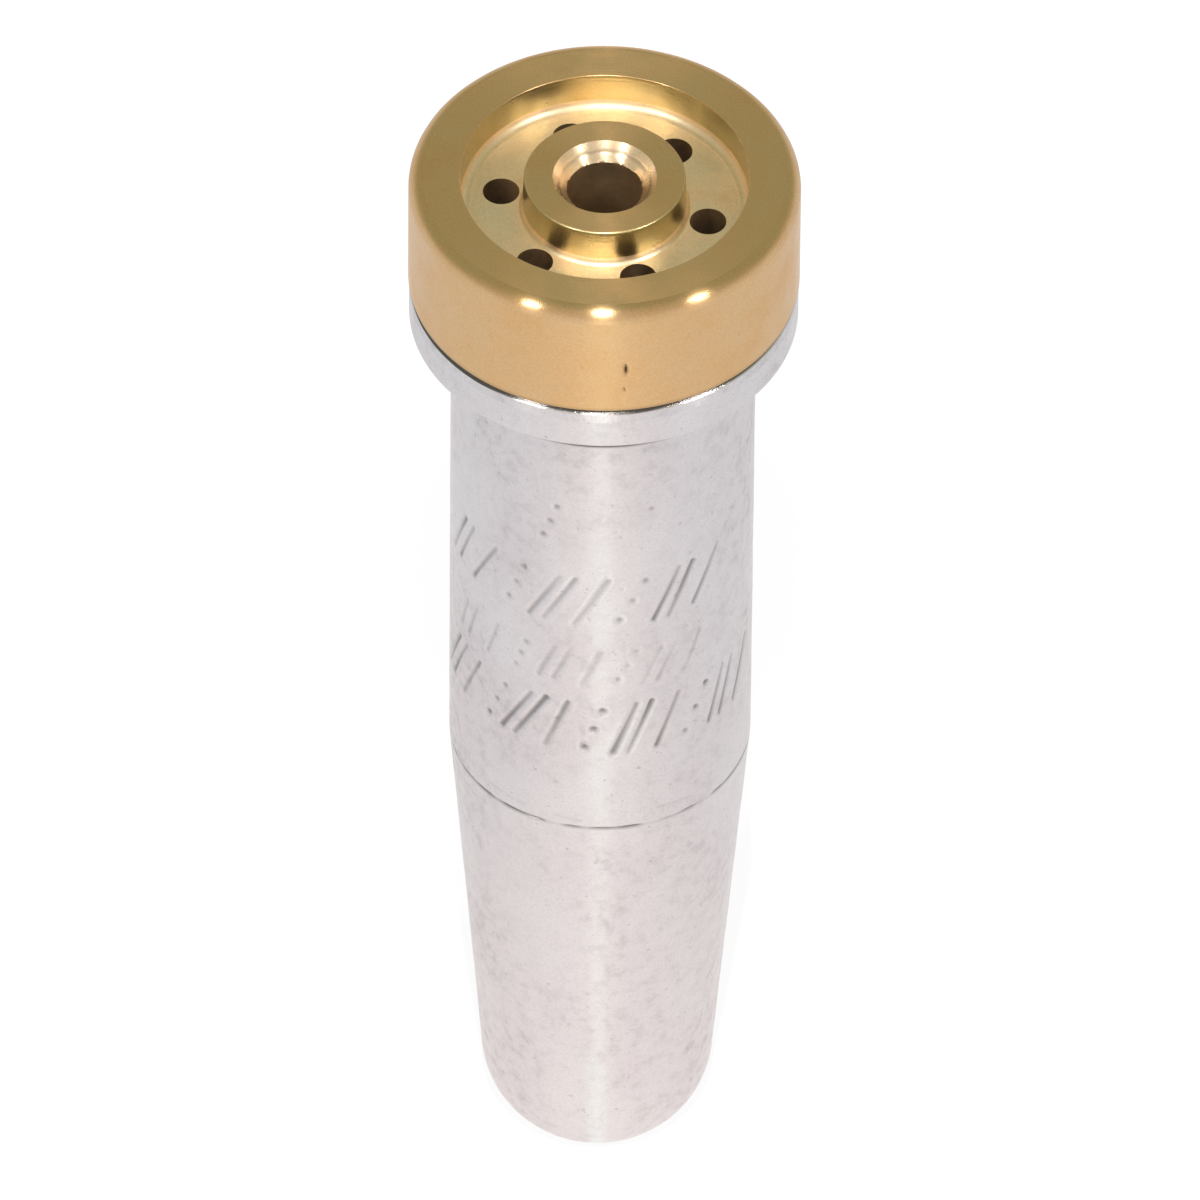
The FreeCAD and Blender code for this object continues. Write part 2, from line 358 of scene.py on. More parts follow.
# %% Brass
def brass(name, colour, roughness, grain, ring_scale, ring_bump, stain, metallic):
    """Turned brass: rings in bump and roughness, a slow drift of colour, brown stain in
    patches, and painted shade, a dark brown, wherever the piece's shade attribute says so."""
    material, tree, shader = new_material(name)
    place = add_node(tree, "ShaderNodeTexCoord").outputs["Object"]
    rings = noise(tree, ring_coordinate(tree), ring_scale, detail=3.0)
    drift = noise(tree, place, 330.0, detail=5.0, roughness=0.6)
    speck = noise(tree, place, 4200.0, detail=3.0)
    painted_shade = add_node(tree, "ShaderNodeAttribute", attribute_name="painted_shade").outputs["Fac"]
    red, green, blue = colour
    warm = (red * 1.02, green * 0.95, blue * 0.86, 1.0)
    brown = (red * 0.55, green * 0.45, blue * 0.28, 1.0)
    base = blend_colours(tree, ramp(tree, drift, 0.38, 0.68), (*colour, 1.0), warm)
    base = blend_colours(tree, ramp(tree, rings, 0.5, 0.8, 0.0, 0.25), base, warm)
    base = blend_colours(tree, ramp(tree, drift, 0.56, 0.72, 0.0, stain), base, brown)
    base = blend_colours(tree, ramp(tree, speck, 0.64, 0.78, 0.0, 0.3), base, brown)
    grain_noise = noise(tree, place, 11000.0, detail=1.0)
    base = blend_colours(tree, ramp(tree, grain_noise, 0.35, 0.65, 0.0, 0.16), base, brown)
    # painted shade: dark brown wherever the shade attribute is set
    base = blend_colours(tree, ramp(tree, painted_shade, 0.0, 1.0), base, (0.09, 0.06, 0.035, 1.0))
    tree.links.new(base, shader.inputs["Base Color"])
    polish = ramp(tree, drift, 0.35, 0.7, roughness * 0.85, roughness * 1.25)
    tree.links.new(polish, shader.inputs["Roughness"])
    shader.inputs["Metallic"].default_value = metallic
    lathe_grain(tree, shader, grain)
    height = blend_colours(tree, 0.35, rings, speck)
    bump = add_node(tree, "ShaderNodeBump", Strength=ring_bump, Distance=0.00004)
    tree.links.new(height, bump.inputs["Height"])
    tree.links.new(bump.outputs["Normal"], shader.inputs["Normal"])
    return material


BRASS = (0.79, 0.515, 0.265)
PALE_BRASS = (0.97, 0.78, 0.55)
WALL_BRASS = (0.62, 0.52, 0.275)
SINK_BRASS = (0.90, 0.70, 0.48)
# a dark brass that paints the shade inside the bore and the ports
BORE_SHADE_BRASS = (0.29, 0.195, 0.11)
BRASS_TABLE = [
    # name, colour, roughness, grain, ring scale, ring bump, stain, metallic
    ("seat_brass", BRASS, 0.35, 0.72, 150.0, 0.5, 0.10, 1.0),
    ("groove_brass", PALE_BRASS, 0.52, 0.35, 80.0, 0.9, 0.3, 0.97),
    ("wall_brass", WALL_BRASS, 0.32, 0.2, 90.0, 0.3, 0.2, 1.0),
    ("side_brass", BRASS, 0.34, 0.5, 120.0, 0.5, 0.10, 1.0),
    ("rim_brass", BRASS, 0.21, 1.0, 120.0, 0.12, 0.10, 1.0),
    ("sink_brass", SINK_BRASS, 0.28, 0.6, 120.0, 0.3, 0.10, 1.0),
    ("corner_brass", PALE_BRASS, 0.45, 0.6, 80.0, 0.4, 0.1, 1.0),
    # The inner finish is painted shade: dark brass for the inside of the bore, the ports and the hidden
    # stem.
    ("inner_shaded_brass", BORE_SHADE_BRASS, 0.65, 0.2, 90.0, 0.6, 0.8, 1.0),
]
BRASS_FINISHES = [brass(*row) for row in BRASS_TABLE]
SEAT, FLOOR, WALL, SIDE, RIM, SINK, CORNER, INNER = range(len(BRASS_FINISHES))


# %% Plated shell
def plating(name, roughness, grain):
    """Satin plating: pale grey with a warm tinge, cloudy at two scales, with fine rings, dark
    specks, and painted shade, a dark grey, wherever the shell's shade attribute says so."""
    material, tree, shader = new_material(name)
    place = add_node(tree, "ShaderNodeTexCoord").outputs["Object"]
    cloud = noise(tree, stretched(tree, (1.0, 1.0, 0.55)), 230.0, detail=6.0, roughness=0.62)
    mottle = noise(tree, place, 1700.0, detail=5.0, roughness=0.66)
    speck = noise(tree, place, 3600.0, detail=2.0)
    rings = noise(tree, ring_coordinate(tree), 150.0, detail=4.0)
    painted_shell_shade = add_node(tree, "ShaderNodeAttribute", attribute_name="painted_shell_shade").outputs["Fac"]
    base = blend_colours(tree, ramp(tree, cloud, 0.36, 0.62), PLATING, WARM_PLATING)
    worn = ramp(tree, cloud, 0.40, 0.62)
    patch = add_node(tree, "ShaderNodeMath", operation="MULTIPLY")
    tree.links.new(worn, patch.inputs[0])
    tree.links.new(ramp(tree, mottle, 0.48, 0.68, 0.0, 0.62), patch.inputs[1])
    base = blend_colours(tree, patch.outputs[0], base, DULL_PLATING)
    base = blend_colours(tree, ramp(tree, rings, 0.55, 0.8, 0.0, 0.2), base, WARM_PLATING)
    base = blend_colours(tree, ramp(tree, speck, 0.67, 0.77, 0.0, 0.5), base, (0.40, 0.37, 0.36, 1.0))
    fine = noise(tree, place, 9000.0, detail=1.0)
    base = blend_colours(tree, ramp(tree, fine, 0.40, 0.68, 0.0, 0.22), base, DULL_PLATING)
    # painted shade: dark grey wherever the shade attribute is set
    base = blend_colours(tree, ramp(tree, painted_shell_shade, 0.0, 1.0), base, (0.16, 0.145, 0.135, 1.0))
    tree.links.new(base, shader.inputs["Base Color"])
    tree.links.new(ramp(tree, mottle, 0.35, 0.68, roughness, 1.5 * roughness), shader.inputs["Roughness"])
    shader.inputs["Metallic"].default_value = 1.0
    lathe_grain(tree, shader, grain)
    height = blend_colours(tree, 0.55, rings, mottle)
    bump = add_node(tree, "ShaderNodeBump", Strength=0.35, Distance=0.00005)
    tree.links.new(height, bump.inputs["Height"])
    tree.links.new(bump.outputs["Normal"], shader.inputs["Normal"])
    return material


PLATING = (0.81, 0.75, 0.74, 1.0)
WARM_PLATING = (0.77, 0.69, 0.685, 1.0)
DULL_PLATING = (0.55, 0.51, 0.50, 1.0)
plated = plating("plated_shell", 0.28, 0.65)
plated_rim = plating("plated_rim", 0.21, 1.0)

# %% [markdown]
# ## The brass nozzle
#
# Its outline runs from the countersink over the boss, through the groove, over the seat and
# down the head, then along spigot, stem and fluted end to the jet, and back up the bore. Six
# ports go from the groove's floor to the spigot's end, so those two faces are not plain bands.
# Each is made of six sectors, and a sector is a grid too: one parameter goes round the port,
# the other from its edge out to the sector's own edge.

# %% Angles of the grid
FRONT = -math.pi / 2      # the side that faces the camera
SECTOR = 2 * math.pi / PORT_COUNT
SECTOR_COLUMNS = 64
COLUMNS = SECTOR_COLUMNS * PORT_COUNT
FIRST_ANGLE = PORT_ANGLE - SECTOR / 2
even_angles = FIRST_ANGLE + 2 * math.pi * np.arange(COLUMNS) / COLUMNS
print("columns round the nozzle:", COLUMNS)


# %% A ring-shaped face with ports
def ported_face(inner, outer, depth, facing_up, side_steps=10, rings=5):
    """For each sector, point (u, v) lies between the port's circle at u and the sector's edge
    at u, at the share v of the way, with v eased so that the cells are small at the port."""
    points, faces = [], []
    for port in range(PORT_COUNT):
        middle = PORT_ANGLE + port * SECTOR
        arc = np.linspace(-SECTOR / 2, SECTOR / 2, SECTOR_COLUMNS + 1)[:-1] + middle
        side = np.linspace(inner, outer, side_steps + 1)[:-1]
        low, high = middle - SECTOR / 2, middle + SECTOR / 2
        inner_arc = np.stack([inner * np.cos(arc), inner * np.sin(arc)], axis=-1)
        high_side = np.stack([side * math.cos(high), side * math.sin(high)], axis=-1)
        back = 2 * middle - arc
        outer_arc = np.stack([outer * np.cos(back), outer * np.sin(back)], axis=-1)
        fall = outer + inner - side
        low_side = np.stack([fall * math.cos(low), fall * math.sin(low)], axis=-1)
        edge = np.concatenate([inner_arc, high_side, outer_arc, low_side])
        centre = PORT_CIRCLE * np.array([math.cos(middle), math.sin(middle)])
        way = edge - centre
        hole = centre + PORT_RADIUS * way / np.linalg.norm(way, axis=1, keepdims=True)
        share = (np.linspace(0.0, 1.0, rings + 1) ** 1.5)[:, None, None]
        flat = hole + (edge - hole) * share
        sector = np.concatenate([flat, np.full((*flat.shape[:2], 1), -depth)], axis=-1)
        offset = sum(len(part) for part in points)
        sector_faces = grid_faces(rings + 1, len(edge))
        points.append(sector.reshape(-1, 3))
        faces.append((sector_faces[:, ::-1] if facing_up else sector_faces) + offset)
    return np.concatenate(points), np.concatenate(faces), len(edge)


def port_walls(inner, outer, top, bottom, side_steps=10, rows=7):
    """The six tubes between the two ported faces. Each starts and ends on the same circle of
    points that those faces have at their ports."""
    rim, _, around = ported_face(inner[0], outer[0], top, True, side_steps, 1)
    end, _, _ = ported_face(inner[1], outer[1], bottom, True, side_steps, 1)
    points, faces = [], []
    for port in range(PORT_COUNT):
        first = rim[port * 2 * around:][:around]
        last = end[port * 2 * around:][:around]
        share = np.linspace(0.0, 1.0, rows)[:, None, None]
        tube = first + (last - first) * share
        offset = sum(len(part) for part in points)
        points.append(tube.reshape(-1, 3))
        faces.append(grid_faces(rows, around) + offset)
    return np.concatenate(points), np.concatenate(faces)


# %% Outlines of the nozzle
FLOOR_OUTER = GROOVE_RADIUS - GROOVE_CORNER

sink_run = outline([
    (BORE_RADIUS, COUNTERSINK_DEPTH, 0, 0.075),
    (COUNTERSINK_RADIUS, 0, 0, 0.1),
])
SINK_LINE_DEPTH = 0.36
boss_run = outline([
    (COUNTERSINK_RADIUS, 0, 0, 0.1),
    (BOSS_TOP_RADIUS, 0, BOSS_EDGE, 0.1),
    (BOSS_FOOT_RADIUS - BOSS_HOLLOW, GROOVE_DEPTH - 0.8 * BOSS_HOLLOW, 0.25, 1.0),
    (BOSS_FOOT_RADIUS, GROOVE_DEPTH, 0, 1.0),
])
edge_row = int(np.argmax(boss_run[:, 0] > BOSS_TOP_RADIUS - BOSS_EDGE / 2))
wall_run = outline([
    (FLOOR_OUTER, GROOVE_DEPTH, 0, 1.0),
    (GROOVE_RADIUS, GROOVE_DEPTH, GROOVE_CORNER, 0.12),
    (GROOVE_RADIUS, 0, LIP, 1.0),
    (GROOVE_RADIUS + 0.1, 0, 0, 1.0),
])
foot_row = int(np.argmax(boss_run[:, 1] > GROOVE_DEPTH - 0.35))
corner_row = int(np.argmax(wall_run[:, 1] < GROOVE_DEPTH - GROOVE_CORNER + 0.001))
lip_row = int(np.argmax(wall_run[:, 1] < LIP + 0.001))
seat_run = outline([
    (GROOVE_RADIUS + 0.1, 0, 0, 0.14),
    (HEAD_RADIUS - HEAD_ROUNDING, 0, 0, 1.0),
])
head_run = outline([
    (HEAD_RADIUS - HEAD_ROUNDING, 0, 0, 1.0),
    (HEAD_RADIUS, 0, HEAD_ROUNDING, 0.17),
    (HEAD_RADIUS, HEAD_HEIGHT - SEAM_CHAMFER, 0.03, 0.05),
    (HEAD_RADIUS - SEAM_CHAMFER, HEAD_HEIGHT, 0, 0.3),
    (SPIGOT_RADIUS, HEAD_HEIGHT, 0, 1.0),
])
spigot_run = outline([(SPIGOT_RADIUS, HEAD_HEIGHT, 0, 0.9), (SPIGOT_RADIUS, SPIGOT_END, 0, 1.0)])
stem_run = outline([
    (STEM_RADIUS, SPIGOT_END, 0, 2.0),
    (STEM_RADIUS, STEM_END, 0, 1.5),
    (TIP_RADIUS, TIP_START, 0, 0.4),
    (TIP_RADIUS, LENGTH, 0, 0.5),
])
jet_run = outline([
    (JET_RADIUS, LENGTH, 0, 1.0),
    (JET_RADIUS, JET_START, 0, 0.4),
    (BORE_RADIUS, BORE_END, 0, 4.0),
    (BORE_RADIUS, COUNTERSINK_DEPTH + 0.2, 0, 0.1),
    (BORE_RADIUS, COUNTERSINK_DEPTH, 0, 1.0),
])


# %% [markdown]
# The fluted end has six milled slots. Its columns drift round a little on the way down the
# stem, until two of them lie on each edge of a slot. Below the run-out the columns between
# those edges step in to the slot's floor.

# %% The fluted end
SLOT_HALF_COLUMNS = 8
SLOT_OFFSET_COLUMNS = 12
SLOT_TURN = math.radians(11)      # from a port round to the slot beside it
END_RING = 1.5
END_MARGIN = 0.016                # between a slot's edge and the next column, as an angle


def nearest_slot():
    """How many columns each column lies from the middle of the slot nearest to it, and the
    angle of that middle."""
    place = np.arange(COLUMNS) - SECTOR_COLUMNS // 2 - SLOT_OFFSET_COLUMNS
    slot = np.floor(place / SECTOR_COLUMNS + 0.5)
    return place - slot * SECTOR_COLUMNS, PORT_ANGLE + SLOT_TURN + slot * SECTOR


slot_step, slot_middle = nearest_slot()
slot_columns = np.abs(slot_step) < SLOT_HALF_COLUMNS
slot_across = np.clip(slot_step / (SLOT_HALF_COLUMNS - 1), -1, 1) * SLOT_WIDTH / 2
half_slot = math.asin(SLOT_WIDTH / 2 / TIP_RADIUS)
halfway = SECTOR_COLUMNS // 2
slot_angles = slot_middle + np.interp(
    slot_step, [-halfway, -SLOT_HALF_COLUMNS, SLOT_HALF_COLUMNS, halfway],
    [-SECTOR / 2, -half_slot, half_slot, SECTOR / 2])
widest_drift = math.degrees(np.abs(slot_angles - even_angles).max())
print("widest drift of a column in degrees:", round(widest_drift, 2))


def cut_slots(points):
    """Moves the slot columns of each row below the run-out to the slot's floor."""
    depth = -points[..., 2]
    share = np.clip((depth - SLOT_START) / (TIP_START - SLOT_START), 0.0, 1.0)[:, slot_columns]
    middle = slot_middle[slot_columns]
    across = slot_across[slot_columns]
    floor_x = SLOT_FLOOR * np.cos(middle) - across * np.sin(middle)
    floor_y = SLOT_FLOOR * np.sin(middle) + across * np.cos(middle)
    cut = points.copy()
    cut[:, slot_columns, 0] += (floor_x - points[:, slot_columns, 0]) * share
    cut[:, slot_columns, 1] += (floor_y - points[:, slot_columns, 1]) * share
    return cut


def end_face(edge, jet):
    """The flat face between the fluted edge and the jet. Its first ring lies just inside the
    slots' floors: the slot columns go straight in to it, and the others are spread evenly
    between them, so that no two columns cross. From there the rings run in to the jet."""
    root = math.asin(SLOT_WIDTH / 2 / END_RING)
    inner, outer = SLOT_HALF_COLUMNS - 1, SLOT_HALF_COLUMNS
    local = np.interp(slot_step, [-halfway, -outer, -inner, inner, outer, halfway],
                      [-SECTOR / 2, -root - END_MARGIN, -root, root, root + END_MARGIN, SECTOR / 2])
    ring = turned_band(np.array([[END_RING, LENGTH]]), slot_middle + local)[0]
    share = np.linspace(0.0, 1.0, 5)[:, None, None]
    return np.concatenate([edge[None], ring + (jet - ring) * share])


# %% The nick and the dents on the head's side
NICK_AZIMUTH = 6.7
NICK_DEPTH = 3.2


def side_angles(run):
    """Columns of the head's side: they crowd together at the nick, most so halfway down, so
    that so small a mark still gets cells of its own."""
    away = wrapped(even_angles - (FRONT + math.radians(NICK_AZIMUTH)))
    pull = -0.6 * away * bell(away, 0.0, 0.06)
    share = np.sin(np.pi * np.linspace(0.0, 1.0, len(run))) ** 0.5
    return even_angles + share[:, None] * pull


def side_marks(points):
    """The nick is a short upright groove, and a few small dents lie round the head. The second
    value is painted shade, darker the deeper each point is pushed in.
    """
    angle = np.arctan2(points[..., 1], points[..., 0])
    depth = -points[..., 2]
    press = np.zeros(depth.shape)
    for azimuth, middle, half_height, width, deep in SIDE_DENTS:
        across = HEAD_RADIUS * np.sin(angle - FRONT - math.radians(azimuth))
        along = np.maximum(np.abs(depth - middle) - half_height, 0.0)
        here = np.cos(angle - FRONT - math.radians(azimuth)) > 0
        press += here * deep * np.exp(-(across ** 2 + along ** 2) / width ** 2)
    shrink = 1 - press / np.hypot(points[..., 0], points[..., 1])
    moved = points.copy()
    moved[..., :2] *= shrink[..., None]
    return moved, np.clip(press / 0.05, 0.0, 1.0)


SIDE_DENTS = [
    # azimuth in degrees, depth of the middle, half the height, width and how deep it is pressed
    (NICK_AZIMUTH, NICK_DEPTH, 0.20, 0.050, 0.09),
    (NICK_AZIMUTH - 0.4, 4.35, 0.04, 0.045, 0.04),
    (152.0, 2.6, 0.3, 0.10, 0.04),
]


# %% The countersink's line and the painted shade on the groove's wall
def countersink():
    """The cone, with a ragged lower edge and one line left by the cutter, and how strongly each
    row lies on that line."""
    ragged = 0.010 * uneven(even_angles, 0.0, 5, (7, 11, 19, 31))
    edge = bell(sink_run[:, 1:], COUNTERSINK_DEPTH, 0.06)
    line = bell(sink_run[:, 1:], SINK_LINE_DEPTH, 0.045)
    sink = turned_band(sink_run, even_angles)
    sink[..., :2] *= (1 + (edge * ragged + 0.018 * line) / sink_run[:, :1])[..., None]
    return sink, line


def wall_painted_shade(depth):
    """Two bells of painted shade round the back of the groove's wall, to both sides of its
    middle, made patchy, which fade out at its lip.
    """
    from_back = wrapped(even_angles - math.pi / 2)
    shade_bells = 0.34 * bell(from_back, 0.58, 0.33) + 0.30 * bell(from_back, -0.55, 0.3)
    patches = np.clip(0.8 + 0.35 * uneven(even_angles, 0.0, 14, (9, 14, 23, 37)), 0.0, 1.2)
    return shade_bells * patches * np.clip(depth / 0.3, 0.0, 1.0)


# %% Making the nozzle
def build_nozzle():
    """Puts all faces of the nozzle together, each with its finish and its painted shade."""
    parts = []

    def add(points, faces, finish, painted_shade=0.0):
        painted_shade = np.broadcast_to(painted_shade, points.shape[:-1]).ravel()
        parts.append((points.reshape(-1, 3), faces, finish, painted_shade))

    def band(run, finish, painted_shade=0.0):
        points = turned_band(run, even_angles)
        add(points, grid_faces(len(run), COLUMNS), finish, painted_shade)

    sink, line = countersink()
    # Painted shade darkens the cutter's line on the countersink.
    add(sink, grid_faces(len(sink_run), COLUMNS), SINK, 0.35 * line * np.ones(COLUMNS))
    band(boss_run[:edge_row + 1], SEAT)
    band(boss_run[edge_row:foot_row + 1], WALL)
    band(boss_run[foot_row:], CORNER)
    floor_points, floor_faces, _ = ported_face(BOSS_FOOT_RADIUS, FLOOR_OUTER, GROOVE_DEPTH, True)
    add(floor_points, floor_faces, FLOOR)
    band(wall_run[:corner_row + 1], CORNER)
    wall = wall_run[corner_row:lip_row + 1]
    # painted shade on the groove's outer wall, darker to both sides of its back
    band(wall, WALL, wall_painted_shade(wall[:, 1:]))
    band(wall_run[lip_row:], SEAT)
    band(seat_run, SEAT)
    head, dent_shade = side_marks(turned_band(head_run, side_angles(head_run)))
    # Painted shade: the head's lower chamfer at the seam is darkened, a dark line above the shell.
    head_seam_shade = np.clip((head_run[:, 1:] - HEAD_HEIGHT + SEAM_CHAMFER + 0.03) / 0.06, 0.0, 1.0)
    side_row = int(np.argmax(head_run[:, 1] > HEAD_ROUNDING))
    shade = np.maximum(dent_shade, head_seam_shade)
    add(head[:side_row + 1], grid_faces(side_row + 1, COLUMNS), RIM, shade[:side_row + 1])
    add(head[side_row:], grid_faces(len(head_run) - side_row, COLUMNS), SIDE, shade[side_row:])
    band(spigot_run, INNER)
    end_points, end_faces, _ = ported_face(STEM_RADIUS, SPIGOT_RADIUS, SPIGOT_END, False)
    add(end_points, end_faces, INNER)
    tube_points, tube_faces = port_walls((BOSS_FOOT_RADIUS, STEM_RADIUS), (FLOOR_OUTER, SPIGOT_RADIUS),
                                         GROOVE_DEPTH, SPIGOT_END)
    add(tube_points, tube_faces, INNER)
    drift = np.clip((stem_run[:, 1:] - SPIGOT_END) / (STEM_END - SPIGOT_END), 0.0, 1.0)
    stem = cut_slots(turned_band(stem_run, even_angles + (slot_angles - even_angles) * drift))
    add(stem, grid_faces(len(stem_run), COLUMNS), INNER)
    jet = turned_band(jet_run, even_angles)
    face = end_face(stem[-1], jet[0])
    add(face, grid_faces(len(face), COLUMNS), SIDE)
    jet[-1] = sink[0]
    add(jet, grid_faces(len(jet_run), COLUMNS), INNER)
    offsets = np.cumsum([0] + [len(part[0]) for part in parts[:-1]])
    points = np.concatenate([part[0] for part in parts])
    faces = np.concatenate([part[1] + offset for part, offset in zip(parts, offsets)])
    finish = np.concatenate([np.full(len(part[1]), part[2]) for part in parts])
    return points, faces, finish, np.concatenate([part[3] for part in parts])


# The shade attribute holds painted shade: the seam chamfer, the groove wall, the nick and dents, the
# countersink's line.
nozzle_points, nozzle_faces, nozzle_finish, nozzle_painted_shade = build_nozzle()
nozzle = make_piece("brass_nozzle", nozzle_points, nozzle_faces, BRASS_FINISHES, nozzle_finish,
                    {"painted_shade": nozzle_painted_shade})
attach(nozzle, "root")
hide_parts("inner_nozzle")

# %% [markdown]
# ## The plated shell
#
# The shell is one closed band: down the outside, over the nose, and back up the bore, the
# chamber and the counterbore. The side that carries the marks gets more columns than the back,
# so that the marks are shape, with painted shade laid in them.

# %% Outline of the shell
def nose_arc(steps=22):
    """The arc from the taper's end to the end face's edge: it leaves the taper in its own
    direction, and its radius is the chord squared over twice the chord's reach inwards."""
    taper = np.array([NOSE_RADIUS - BARREL_RADIUS, NOSE_START - TAPER_START])
    along = taper / np.linalg.norm(taper)
    inward = np.array([-along[1], along[0]])
    start, end = np.array([NOSE_RADIUS, NOSE_START]), np.array([END_FACE_RADIUS, LENGTH])
    chord = end - start
    radius = chord @ chord / (2 * inward @ chord)
    centre = start + inward * radius
    first = math.atan2(*(start - centre)[::-1])
    last = math.atan2(*(end - centre)[::-1])
    turn = np.linspace(first, last, steps)
    return centre + radius * np.stack([np.cos(turn), np.sin(turn)], axis=-1)


FINE = 0.09           # spacing of the rows where marks are struck
LINE_REACH = 0.3      # close rows on both sides of the ring line
TAPER_SLOPE = (BARREL_RADIUS - NOSE_RADIUS) / (NOSE_START - TAPER_START)
outside_run = outline([
    (COUNTERBORE_RADIUS, HEAD_HEIGHT, 0, 1.3),
    (COLLAR_RADIUS - SEAM_CHAMFER, HEAD_HEIGHT, 0, 0.035),
    (COLLAR_RADIUS, HEAD_HEIGHT + SEAM_CHAMFER, 0.06, 0.4),
    (COLLAR_RADIUS, COLLAR_END, 0.12, 0.4),
    (BARREL_RADIUS, SHOULDER_END, 0.08, 0.06),
    (BARREL_RADIUS, SHOULDER_END + 0.2, 0, 0.5),
    (BARREL_RADIUS, 12.6, 0, FINE),
    (BARREL_RADIUS, 15.3, 0, 0.16),
    (BARREL_RADIUS, 16.6, 0, FINE),
    (BARREL_RADIUS, 20.0, 0, 0.14),
    (BARREL_RADIUS, 20.9, 0, FINE),
    (BARREL_RADIUS, 27.5, 0, 0.3),
    (BARREL_RADIUS, 30.3, 0, 0.1),
    (BARREL_RADIUS, TAPER_START - LINE_REACH, 0, 0.05),
    (BARREL_RADIUS, TAPER_START, 0, 0.05),
    (BARREL_RADIUS - LINE_REACH * TAPER_SLOPE, TAPER_START + LINE_REACH, 0, 0.85),
    (NOSE_RADIUS, NOSE_START, 0, 1.0),
])[:-1]
inside_run = outline([
    (END_FACE_RADIUS, LENGTH, 0, 0.5),
    (TIP_BORE_RADIUS, LENGTH, 0, 3.5),
    (TIP_BORE_RADIUS, TIP_BORE_START, 0, 4.0),
    (CHAMBER_RADIUS, CHAMBER_END, 0, 9.0),
    (CHAMBER_RADIUS, COUNTERBORE_END, 0, 0.4),
    (COUNTERBORE_RADIUS, COUNTERBORE_END, 0, 1.8),
    (COUNTERBORE_RADIUS, HEAD_HEIGHT, 0, 1.0),
])[1:-1]
shell_run = np.concatenate([outside_run, nose_arc(16), inside_run])
print("rows of the shell:", len(shell_run))


# %% Columns that are closer together on the marked side
def spaced_angles(columns, front, spread, extra):
    """Angles whose density is one plus a bell of the given height round the front."""
    fine = np.linspace(-math.pi, math.pi, 4001)
    density = 1 + extra / (1 + np.exp((np.abs(fine) - spread) / 0.12))
    total = np.concatenate([[0], np.cumsum((density[1:] + density[:-1]) / 2)])
    return front + np.interp(np.arange(columns) / columns * total[-1], total, fine)


shell_angles = spaced_angles(352, FRONT, 1.3, 1.85)
finest = float(np.diff(shell_angles).min() * BARREL_RADIUS)
print("columns of the shell:", len(shell_angles), "finest", round(finest, 3), "mm")

# %% [markdown]
# ## Marks on the shell
#
# Rows of plain marks are struck into the barrel by hand: centre-punch dots and slanting chisel
# strokes. A struck mark is a valley with a low rim of metal pushed up beside it. Its depth at a
# point depends only on the distance to the mark's middle line, on the unrolled surface.

# %% Distance on the unrolled surface
around = BARREL_RADIUS * wrapped(shell_angles - FRONT)[None, :]
down = shell_run[:, 1][:, None]
outside = (np.arange(len(shell_run)) < len(outside_run))[:, None]


def to_stroke(start, end):
    """Distance from each point to the segment from start to end, both as millimetres round and
    down, and how far along the segment the nearest point lies, from 0 to 1."""
    way = np.subtract(end, start)
    length = max(way @ way, 1e-9)
    share = np.clip(((around - start[0]) * way[0] + (down - start[1]) * way[1]) / length, 0.0, 1.0)
    return np.hypot(around - start[0] - share * way[0], down - start[1] - share * way[1]), share


def struck(distance, width, depth):
    """Valley minus rim: a bell of the given depth round the middle line, and beside it, two
    widths away, a ridge of about a fifth of that."""
    return depth * (bell(distance, 0.0, width) - 0.22 * bell(distance, 2.0 * width, 0.8 * width))


# %% Rows of struck marks
ROWS = [
    # depth in mm, first and last azimuth in degrees, marks, height in mm, how deep it is struck
    (13.9, -21, -21, 1, 2.2, 0.050),
    (18.3, -66, 44, 8, 2.6, 0.055),
    (22.2, -60, 38, 8, 1.9, 0.030),
    (25.7, -72, 68, 11, 2.7, 0.070),
]


def struck_rows():
    """Each mark is a slanting stroke, a pair of them or a few dots. Place, slant and force vary
    from blow to blow, as they do by hand."""
    rng = np.random.default_rng(41)
    total = np.zeros(np.broadcast(around, down).shape)
    for depth, first, last, count, height, force in ROWS:
        for index, azimuth in enumerate(np.linspace(first, last, count)):
            middle = BARREL_RADIUS * math.radians(azimuth) + rng.uniform(-0.12, 0.12)
            level = depth + rng.uniform(-0.15, 0.15)
            lean = rng.uniform(0.30, 0.55)
            blow = force * rng.uniform(0.75, 1.15)
            kind = index % 3
            if kind == 2 or count == 1:
                for step in (-0.4, 0.0, 0.4):
                    dot = (middle - step * lean * height, level + step * height)
                    distance, _ = to_stroke(dot, dot)
                    total += struck(distance, 0.16, blow * rng.uniform(0.9, 1.3))
            else:
                for side in ((-0.33, 0.33) if kind == 0 else (0.0,)):
                    start = (middle + side + 0.5 * lean * height, level - 0.5 * height)
                    end = (middle + side - 0.5 * lean * height, level + 0.5 * height)
                    distance, share = to_stroke(start, end)
                    heavier = 0.7 + 0.6 * (share if rng.random() < 0.5 else 1 - share)
                    total += struck(distance, 0.13, blow * heavier)
    return total


